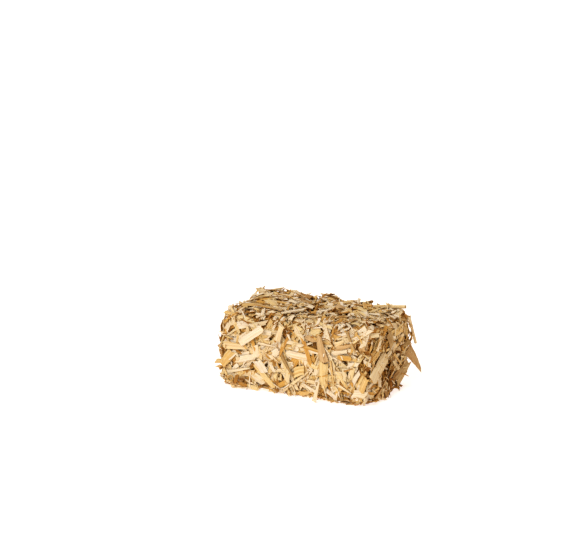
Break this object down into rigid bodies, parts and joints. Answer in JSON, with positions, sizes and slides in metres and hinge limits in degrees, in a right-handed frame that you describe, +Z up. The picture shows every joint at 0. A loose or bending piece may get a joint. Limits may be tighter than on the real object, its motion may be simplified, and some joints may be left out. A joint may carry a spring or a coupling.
{
  "type": "straw bale",
  "caption": "Small craft bale of chopped straw pressed into a rough-skinned brick, with split stems, leaf flakes and slivers on every side; rests on its flat base.",
  "frame": {"origin": "middle of the flat base that the bale rests on", "axes": "+X along the bale's length, -Y out of its front, +Z up"},
  "size_m": [0.072, 0.0445, 0.0334],
  "materials": {
    "pressed_straw": "matt chopped straw, cream to brown, open and rough",
    "split_stem": "waxy golden outside, matt cream inside, grained lengthwise",
    "leaf_flake": "satin, ribbed lengthwise, golden to brown",
    "sliver": "matt pale torn fibre",
    "stem_tube": "waxy grey-gold stem"
  },
  "bodies": {
    "root": {"leaf_flake_back_01": "leaf_flake", "leaf_flake_back_02": "leaf_flake", "leaf_flake_back_03": "leaf_flake", "leaf_flake_back_04": "leaf_flake", "leaf_flake_back_05": "leaf_flake", "leaf_flake_end_01": "leaf_flake", "leaf_flake_end_02": "leaf_flake", "leaf_flake_end_03": "leaf_flake", "leaf_flake_end_04": "leaf_flake", "leaf_flake_front_01": "leaf_flake", "leaf_flake_front_02": "leaf_flake", "leaf_flake_front_03": "leaf_flake", "leaf_flake_front_04": "leaf_flake", "leaf_flake_front_05": "leaf_flake", "leaf_flake_front_06": "leaf_flake", "leaf_flake_left_01": "leaf_flake", "leaf_flake_left_02": "leaf_flake", "leaf_flake_top_01": "leaf_flake", "leaf_flake_top_02": "leaf_flake", "leaf_flake_top_03": "leaf_flake", "pressed_straw": "pressed_straw", "sliver_back_01": "sliver", "sliver_back_02": "sliver", "sliver_back_03": "sliver", "sliver_end_01": "sliver", "sliver_end_02": "sliver", "sliver_front_01": "sliver", "sliver_front_02": "sliver", "sliver_front_03": "sliver", "sliver_front_04": "sliver", "sliver_front_05": "sliver", "sliver_front_06": "sliver", "sliver_left_01": "sliver", "sliver_top_01": "sliver", "split_stem_back_01": "split_stem", "split_stem_back_02": "split_stem", "split_stem_back_03": "split_stem", "split_stem_back_04": "split_stem", "split_stem_back_05": "split_stem", "split_stem_end_01": "split_stem", "split_stem_front_01": "split_stem", "split_stem_front_02": "split_stem", "split_stem_front_03": "split_stem", "split_stem_front_04": "split_stem", "split_stem_front_05": "split_stem", "split_stem_front_06": "split_stem", "split_stem_front_07": "split_stem", "split_stem_front_08": "split_stem", "split_stem_left_01": "split_stem", "split_stem_left_02": "split_stem", "split_stem_left_03": "split_stem", "split_stem_top_01": "split_stem", "split_stem_top_02": "split_stem", "split_stem_top_03": "split_stem", "stem_tube_end_01": "stem_tube", "stem_tube_top_01": "stem_tube"}
  },
  "joints": []
}
